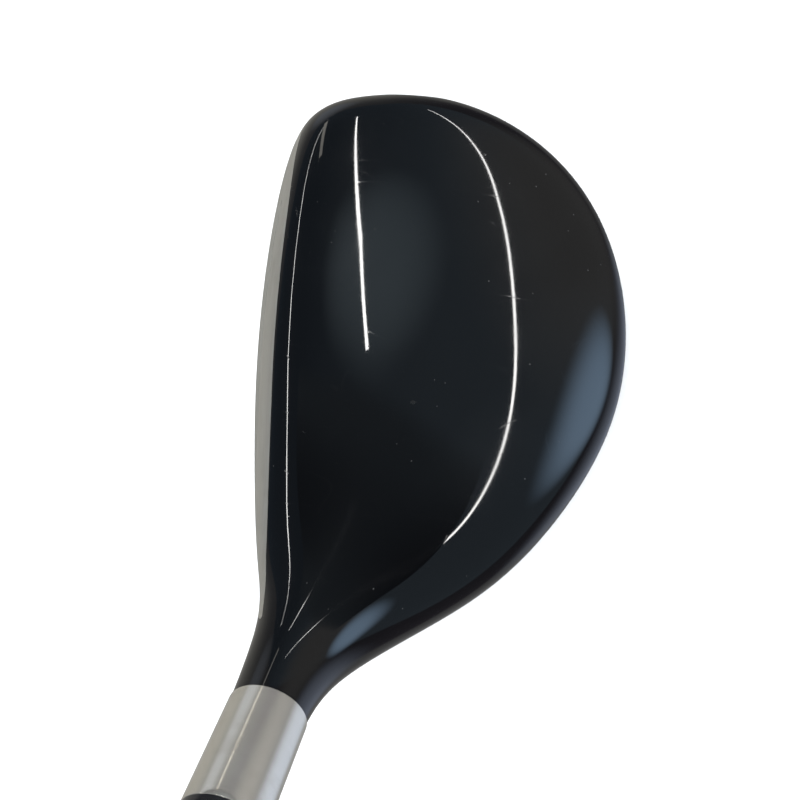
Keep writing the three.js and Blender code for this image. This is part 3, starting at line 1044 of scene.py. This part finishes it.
    def face_plate(self) -> bpy.types.Object:
        """The scored plate that closes the window."""
        piece = to_object(self.skin(0.0), "head_face_plate")
        carve(piece, self.prism(0.0), Cut.KEEP)
        carve(piece, to_object(self.skin(self.plate, 0.5), "behind"), Cut.AWAY)
        for number in range(self.grooves):
            carve(piece, self.groove(number), Cut.AWAY)
        return piece

    def sole_badge(self) -> bpy.types.Object:
        """The enamel bar in the sole."""
        piece = to_object(self.skin(0.0), "sole_badge_bar")
        carve(piece, self.stadium(0.0), Cut.KEEP)
        return carve(piece, to_object(self.skin(self.badge_depth, 0.7), "behind"), Cut.AWAY)

    def weight_port(self) -> bpy.types.Object:
        """The cup that holds the weight screw."""
        depth, wide = 9.0, self.port_radius
        cup = turned([(wide, -4), (wide, depth), (5.0, depth), (5.0, 3.6), (6.4, 3.6), (6.4, -4)])
        piece = to_object(self.in_port(cup), "sole_weight_port")
        carve(piece, to_object(self.skin(0.0), "head"), Cut.KEEP)
        return piece

    def weight_screw(self) -> bpy.types.Object:
        """The screw with its hexagon socket."""
        screw = turned([(0, 0.5), (6.1, 0.5), (6.1, 3.3), (4.7, 3.3), (4.7, 8.6), (0, 8.6)])
        soften(screw, 0.45, 4)
        piece = to_object(self.in_port(screw), "sole_weight_screw")
        socket = turned([(0, -1.0), (3.35, -1.0), (3.35, 0.5), (2.9, 0.95), (2.9, 3.0), (0, 3.6)], 6)
        return carve(piece, to_object(self.in_port(socket), "socket"), Cut.AWAY)

    def build(self, paint: Finish, face: Finish, enamel: Finish, turned_steel: Finish, alloy: Finish) -> None:
        """Makes and dresses every piece of the head."""
        followers = (
            (self.body(), paint, "body_casting"),
            (self.face_plate(), face, "face_plate"),
            (self.sole_badge(), enamel, "sole_badge"),
            (self.weight_port(), turned_steel, "weight_port"),
        )
        for piece, finish, node in followers:
            mount(in_metres(self.form.dress_normals(piece)), finish, node)
        mount(in_metres(evened(self.weight_screw())), alloy, "weight_screw")


@dataclass
class Hosel:
    """The steel tube that the shaft sits in, and the ferrule over its top."""

    line: ShaftLine = ShaftLine()
    radius: float = 6.75
    bore: float = 4.55
    spigot: float = 5.25
    foot: float = 33.0
    neck_top: float = 57.76
    top: float = 78.0
    ferrule_top: float = 103.0

    def tube(self) -> bpy.types.Object:
        """The hosel tube: a spigot in the neck and a bare cylinder above it."""
        bm = turned([
            (self.spigot, self.foot), (self.spigot, self.neck_top), (self.radius, self.neck_top),
            (self.radius, self.top), (self.bore, self.top), (self.bore, self.foot + 2),
            (self.bore - 1, self.foot + 2), (self.bore - 1, self.foot),
        ], 160)
        soften(bm, 0.10)
        return self.line.turned_piece(bm, "hosel_sleeve")

    def ferrule(self) -> bpy.types.Object:
        """The ferrule: straight, then a long soft taper with two fine turned rings."""
        foot = self.top + 0.05
        length = self.ferrule_top - foot

        def outside(height: float) -> float:
            """The ferrule's radius at a height above its foot."""
            way = min(max((height - 6) / (length - 6), 0), 1)
            return self.radius - 1.6 * way * way * (2.1 - 1.1 * way)

        heights = [0, 5.2] + [5.2 + (length - 6) * step / 22 for step in range(1, 23)]
        side = [(outside(height), foot + height) for height in heights]
        for middle in (4.0, 5.0):
            steps = ((0.0, -0.22), (0.18, -0.12), (0.18, 0.12), (0.0, 0.22))
            side += [(self.radius - deep, foot + middle + step) for deep, step in steps]
            side.sort(key=lambda at: at[1])
        bm = turned([*side, (4.95, self.ferrule_top), (4.4, self.ferrule_top), (4.4, foot)], 128)
        soften(bm, 0.08, 3, 40)
        return self.line.turned_piece(bm, "hosel_ferrule")

    def build(self, steel: Finish, plastic: Finish) -> None:
        """Makes and dresses both pieces."""
        mount(self.tube(), steel, "hosel_tube")
        mount(self.ferrule(), plastic, "ferrule")


@dataclass
class Shaft:
    """The tapered graphite tube."""

    line: ShaftLine = ShaftLine()
    tip: float = 35.3
    taper_foot: float = 181.0
    butt: float = 1006.0
    tip_radius: float = 4.25
    butt_radius: float = 7.5835
    tip_bore: float = 2.2
    butt_bore: float = 6.4

    def tube(self) -> bpy.types.Object:
        """The shaft, with rings enough for its slow taper."""
        steps = 24
        side = [
            (self.tip_radius + (self.butt_radius - self.tip_radius) * step / steps,
             self.taper_foot + (self.butt - self.taper_foot) * step / steps)
            for step in range(steps + 1)
        ]
        bm = turned([
            (self.tip_radius, self.tip), *side, (self.butt_bore, self.butt),
            (self.tip_bore, self.taper_foot), (self.tip_bore, self.tip),
        ], 96)
        soften(bm, 0.15)
        return self.line.turned_piece(bm, "graphite_shaft")

    def build(self, graphite: Finish) -> None:
        """Makes and dresses the shaft."""
        mount(self.tube(), graphite, "shaft")


@dataclass
class Grip:
    """The rubber grip with its moulded pattern, and the cap at the butt."""

    line: ShaftLine = ShaftLine()
    mouth: float = 742.0
    top: float = 1006.0
    end: float = 1010.0
    mouth_radius: float = 10.1
    butt_radius: float = 13.2
    bore_mouth: float = 7.55
    bore_top: float = 8.62
    pattern_from: float = 752.0
    pattern_to: float = 998.0
    pitch: float = 6.2
    depth: float = 0.42
    lip: float = 1.3

    def outside(self, height: Points) -> Points:
        """The plain grip's radius at a height."""
        way = np.clip((height - self.mouth) / (self.end - self.mouth), 0, 1)
        return self.mouth_radius + (self.butt_radius - self.mouth_radius) * way**1.2

    def relief(self, height: Points, turn: Points) -> Points:
        """How deep the moulded pattern is: crossed spiral channels, and plain bands between them."""
        count = 9
        slope = 2 * math.pi / (self.pitch * 2.6)
        first = np.cos(count * turn + slope * height * 3)
        second = np.cos(count * turn - slope * height * 3)
        channels = np.clip(np.maximum(first, second) * 5 - 4.1, 0, 1)
        bands = np.clip(np.cos(2 * math.pi * (height - self.pattern_from) / 82.0) * 14 - 12.4, 0, 1)
        ends = np.clip((height - self.pattern_from) / 1.2, 0, 1)
        ends = ends * np.clip((self.pattern_to - height) / 1.2, 0, 1)
        rings = np.clip(1 - np.abs(height - self.pattern_from + 2.2) / 0.7, 0, 1)
        rings = rings + np.clip(1 - np.abs(height - self.pattern_to - 2.2) / 0.7, 0, 1)
        return self.depth * (channels * (1 - bands) * ends + 0.9 * rings)

    def rubber(self) -> bpy.types.Object:
        """The grip as one closed skin: up the outside, over the top and down the bore."""
        outer, over = 0.93, 0.94

        def formula(turn_share: Points, way: Points) -> Points:
            """Places for shares round the grip and along its section."""
            turn = 2 * math.pi * (turn_share % 1)
            up = np.clip(way / outer, 0, 1)
            down = np.clip((way - over) / (1 - over), 0, 1)
            on_outside = way <= outer
            long = self.top - self.mouth
            height = np.where(on_outside, self.mouth + long * up, self.top - long * down)
            past = 1 - np.clip((height - self.mouth) / self.lip, 0, 1)
            drawn_in = self.lip * (1 - np.sqrt(np.clip(1 - past**2, 0, 1))) * 0.8
            outside = self.outside(height) - drawn_in - self.relief(height, turn)
            bore = self.bore_top + (self.bore_mouth - self.bore_top) * down
            radius = np.where(on_outside, outside, bore)
            closing = way > 0.9999
            radius = np.where(closing, self.outside(np.array(self.mouth)) - self.lip * 0.8, radius)
            return np.stack([radius * np.cos(turn), radius * np.sin(turn), height], 1)

        bm = sheet(150, 620, formula)
        return to_object(self.line.stand(bm), "rubber_grip", MM)

    def cap(self) -> bpy.types.Object:
        """The moulded end cap with its vent hole and a raised ring."""
        low, wide = self.top + 0.05, self.butt_radius
        bm = turned([
            (wide, low), (wide, self.end - 1.8), (wide - 1.8, self.end), (8.2, self.end),
            (8.0, self.end - 0.5), (5.4, self.end - 0.5), (5.2, self.end), (1.6, self.end), (1.6, low),
        ], 128)
        soften(bm, 0.35, 4)
        return self.line.turned_piece(bm, "grip_end_cap")

    def build(self, rubber: Finish) -> None:
        """Makes and dresses both pieces."""
        mount(self.rubber(), rubber, "grip")
        mount(self.cap(), rubber, "grip_cap")


# ------------------------------------------------------------------------------ the studio


@dataclass(frozen=True)
class Tube:
    """A thin straight lamp overhead, between two points in metres."""

    start: Triple
    end: Triple
    width: float
    glow: float


@dataclass(frozen=True)
class Glow:
    """A soft round glow: its middle, its radius in degrees and its colour."""

    bearing: float
    elevation: float
    radius: float
    colour: Colour

    @property
    def direction(self) -> Triple:
        """The unit direction to its middle."""
        turn, rise = math.radians(self.bearing), math.radians(self.elevation)
        return (math.cos(turn) * math.cos(rise), math.sin(turn) * math.cos(rise), math.sin(rise))


@dataclass
class Studio:
    """Camera, lamps, floor and the plain room that the gloss mirrors."""

    eye: Triple = (-0.00923, 0.04827, 0.20714)
    right: Triple = (-0.0869, 0.9708, -0.2235)
    up: Triple = (-0.9923, -0.1043, -0.0668)
    back: Triple = (-0.0882, 0.2160, 0.9724)
    lens: float = 47.25
    tubes: tuple[Tube, ...] = (
        Tube((-0.12, 0.0, 1.5), (-4.06, -1.39, 1.5), 0.026, 30.0),
        Tube((0.68, 1.53, 1.5), (-1.22, 1.13, 1.5), 0.034, 26.0),
        Tube((-1.22, 1.13, 1.5), (-7.9, 0.31, 1.5), 0.034, 26.0),
        Tube((0.4, -1.36, 1.5), (-1.79, -3.0, 1.5), 0.05, 24.0),
        Tube((-1.79, -3.0, 1.5), (-6.8, -5.6, 1.5), 0.05, 24.0),
    )
    tube_tint: Colour = (1.0, 0.99, 0.97)
    panel_height: float = 3.0
    panel_side: float = 5.0
    panel_glow: float = 3.2
    glows: tuple[Glow, ...] = (
        Glow(178, 71, 21, (0.58, 0.72, 0.82)),
        Glow(125, 14, 48, (0.44, 0.43, 0.42)),
        Glow(80, -38, 38, (0.76, 0.86, 1.08)),
        Glow(84, 14, 20, (1.9, 2.7, 3.7)),
        Glow(-142, -14, 18, (0.55, 0.59, 0.66)),
    )

    def camera(self) -> None:
        """Makes the camera."""
        lens = bpy.data.cameras.new("camera")
        lens.lens = self.lens
        lens.sensor_width = 36.0
        lens.clip_start = 0.01
        made = bpy.data.objects.new("camera", lens)
        axes = Matrix((self.right, self.up, self.back)).transposed().to_4x4()
        made.matrix_world = Matrix.Translation(self.eye) @ axes
        bpy.context.scene.collection.objects.link(made)
        bpy.context.scene.camera = made

    @staticmethod
    def lamp(
        name: str, place: Vector, aim: Vector, run: Vector, width: float, glow: float
    ) -> bpy.types.Object:
        """A rectangular lamp of a given brightness.

        Args:
            name: The lamp's name.
            place: Its middle.
            aim: The point that it faces.
            run: Its first side.
            width: Its second side's length.
            glow: Its radiance.

        Returns:
            The lamp.
        """
        light = bpy.data.lights.new(name, "AREA")
        light.shape = "RECTANGLE"
        light.size, light.size_y = run.length, width
        light.energy = glow * math.pi * run.length * width
        made = bpy.data.objects.new(name, light)
        back = (place - aim).normalized()
        across = (run - back * run.dot(back)).normalized()
        turn = Matrix((across, back.cross(across), back)).transposed().to_4x4()
        made.matrix_world = Matrix.Translation(place) @ turn
        made.visible_camera = False
        bpy.context.scene.collection.objects.link(made)
        return made

    def lamps(self) -> None:
        """Hangs the thin lamps, and a wide panel that the gloss doesn't mirror."""
        for number, tube in enumerate(self.tubes):
            start, end = Vector(tube.start), Vector(tube.end)
            middle = (start + end) / 2
            below = Vector((middle.x, middle.y, 0.0))
            made = self.lamp(f"tube_{number}", middle, below, end - start, tube.width, tube.glow)
            made.data.color = self.tube_tint
        over, run = Vector((0, 0, self.panel_height)), Vector((self.panel_side, 0, 0))
        made = self.lamp("panel_0", over, Vector((0, 0, 0.03)), run, self.panel_side, self.panel_glow)
        made.visible_glossy = False

    def floor(self) -> None:
        """Lays the pale floor, which the gloss doesn't mirror."""
        bm = bmesh.new()
        bmesh.ops.create_circle(bm, cap_ends=True, segments=96, radius=1.5)
        made = to_object(bm, "studio_floor")
        material = bpy.data.materials.new("floor_finish")
        material.use_nodes = True
        graph = Graph(material.node_tree)
        mottle = graph.noise(graph.place(), 0.03, 3.0)
        tone = graph.blend(mottle, (0.86, 0.86, 0.86), (0.88, 0.88, 0.88))
        graph.show(graph.surface(Base_Color=tone, Roughness=0.9, Specular_IOR_Level=0.0))
        made.data.materials.append(material)
        made.visible_glossy = False

    @staticmethod
    def shining(made: bpy.types.Object, to_camera: bool) -> Graph:
        """Makes a stage piece light up for the camera alone or for reflections alone.

        Args:
            made: The piece.
            to_camera: Whether the camera sees it; otherwise only reflections do.

        Returns:
            The graph of its new material.
        """
        material = bpy.data.materials.new(f"{made.name}_finish")
        material.use_nodes = True
        material.cycles.emission_sampling = "NONE"
        made.data.materials.append(material)
        made.visible_camera, made.visible_glossy = to_camera, not to_camera
        for ray in ("diffuse", "shadow", "transmission", "volume_scatter"):
            setattr(made, f"visible_{ray}", False)
        return Graph(material.node_tree)

    def flag(self) -> None:
        """Hangs a dim card over the neck, which keeps the lamps off it in reflections only."""
        bm = pushed([(0.5, -30.0), (60.0, -30.0), (60.0, 60.0), (21.7, 60.0), (0.5, 10.0)], 70.0, 70.4)
        graph = self.shining(to_object(bm, "studio_flag", MM), False)
        inside = graph.along((1.0, 0.0, 0.0), (0.0005, 0.0, 0.0))
        slope = graph.along((0.92, -0.39, 0.0), (0.0005, 0.010, 0.0))
        veil = inside.ramp(0.0, 0.012) * slope.ramp(0.0, 0.012)
        deep = inside.ramp(0.004, 0.036) * slope.ramp(0.004, 0.030)
        shade = graph.blend(deep, (0.15, 0.18, 0.21), (0.03, 0.03, 0.04))
        dim = graph.node("ShaderNodeEmission", {}, {"Color": shade})
        clear = graph.node("ShaderNodeBsdfTransparent")
        graph.show(graph.node("ShaderNodeMixShader", {}, {0: veil, 1: clear, 2: dim}))

    def strip_light(self) -> None:
        """Stands a thin bright strip in front of the hosel, seen only in its reflection."""
        low, high = Vector((-90.0, -49.0, 31.6)), Vector((-79.3, -52.3, 66.7))
        aside, through = Vector((-0.31, 0.95, 0.0)) * 2.3, Vector((0.095, 0.031, 0.0))
        bm = bmesh.new()
        corners = [bm.verts.new(at) for at in (low - aside, low + aside, high + aside, high - aside)]
        grown = bmesh.ops.extrude_face_region(bm, geom=[bm.faces.new(corners)], use_keep_orig=True)
        moved = [item for item in grown["geom"] if isinstance(item, bmesh.types.BMVert)]
        bmesh.ops.translate(bm, verts=moved, vec=through)
        bmesh.ops.recalc_face_normals(bm, faces=bm.faces)
        graph = self.shining(to_object(bm, "studio_strip_light", MM), False)
        graph.show(graph.node("ShaderNodeEmission", {}, {"Color": (1.0, 0.97, 0.90, 1.0), "Strength": 2.3}))

    def backdrop(self) -> None:
        """Closes the view round the floor with a plain pale dome that only the camera sees."""
        bm = bmesh.new()
        bmesh.ops.create_icosphere(bm, subdivisions=4, radius=9.0)
        graph = self.shining(to_object(bm, "studio_backdrop"), True)
        graph.show(graph.node("ShaderNodeEmission", {}, {"Color": (1.0, 1.0, 1.0, 1.0), "Strength": 1.0}))

    def room(self) -> None:
        """A dim ceiling, a paler ground and a few soft round lights."""
        world = bpy.data.worlds.new("room")
        bpy.context.scene.world = world
        world.use_nodes = True
        graph = Graph(world.node_tree)
        here = graph.node("ShaderNodeTexCoord", output="Generated")
        y, z = (graph.node("ShaderNodeSeparateXYZ", {}, {0: here}, axis) for axis in "YZ")
        ceiling = graph.blend(y.ramp(-0.60, 0.45), (0.10, 0.13, 0.17), (0.24, 0.30, 0.36))
        behind = graph.blend(z.ramp(-0.40, -0.54), (0.12, 0.11, 0.13), (0.29, 0.29, 0.29))
        before = graph.blend(z.ramp(-0.08, -0.52), (0.22, 0.22, 0.23), (0.40, 0.39, 0.36))
        ground = graph.blend(y.ramp(0.2, -0.35), behind, before)
        colour = graph.blend(z.ramp(0.02, -0.02), ceiling, ground)
        for glow in self.glows:
            mask = graph.dot(here, glow.direction).ramp(math.cos(math.radians(glow.radius)), 1.0)
            colour = graph.blend(mask, colour, glow.colour)
        light = graph.node("ShaderNodeBackground", {}, {"Color": colour, "Strength": 1.0})
        graph.node("ShaderNodeOutputWorld", {}, {"Surface": light})

    def build(self) -> None:
        """Makes the whole studio."""
        bpy.context.scene.view_settings.view_transform = "Standard"
        self.camera()
        self.lamps()
        self.floor()
        self.flag()
        self.strip_light()
        self.backdrop()
        self.room()


def dress_hidden_parts() -> None:
    """Gives the nodes that stay as they are their finishes."""
    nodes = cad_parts
    finishes = {
        "damping_blob": Moulded("hot_melt", (0.50, 0.38, 0.17), (0.66, 0.54, 0.30), 0.42, 0.0022, 0.0002),
        "hosel_plug": Moulded(
            "black_plastic", (0.010, 0.010, 0.011), (0.026, 0.026, 0.027), 0.5, 0.0004, 0.00002
        ),
        "tip_weight": BlastedMetal("brass", (0.46, 0.30, 0.09), 0.0003, 0.00001, 0.3),
        "tip_cork": Moulded("cork", (0.36, 0.21, 0.10), (0.58, 0.40, 0.23), 0.85, 0.0009, 0.0002),
        "grip_tape": Moulded("paper_tape", (0.66, 0.60, 0.44), (0.78, 0.73, 0.58), 0.9, 0.0005, 0.00005),
    }
    for name, finish in finishes.items():
        finish.dress(nodes[name])
        LOG.info("%s: kept", name)


def main() -> None:
    """Builds the club and its studio."""
    logging.basicConfig(level=logging.INFO, format="%(message)s")
    steel = TurnedSteel()
    gloss_plastic = Moulded(
        "ferrule_plastic", (0.006, 0.006, 0.007), (0.014, 0.014, 0.015), 0.12, 0.0006, 0.000003, 0.4
    )
    enamel = Moulded("badge_fill", (0.22, 0.014, 0.018), (0.34, 0.03, 0.035), 0.22, 0.0012, 0.00001, 0.6)
    blemishes = (
        Blemish(6.85, 11.73, 0.35),
        Blemish(13.85, -6.36, 0.05, 1.2, 5.0),
        Blemish(-24.2, -12.5, 0.12, 0.3, 4.0),
        Blemish(-20.1, -13.8, 0.05, 0.2, 6.0),
        Blemish(-28.2, -14.2, 0.1, 0.9, 3.0),
    )
    paint = GlossPaint(blemishes)
    ClubHead().build(paint, BrushedSteel(), enamel, steel, BlastedMetal())
    Hosel().build(steel, gloss_plastic)
    Shaft().build(WovenGraphite())
    Grip().build(GripRubber())
    dress_hidden_parts()
    Studio().build()


if __name__ == "__main__":
    main()
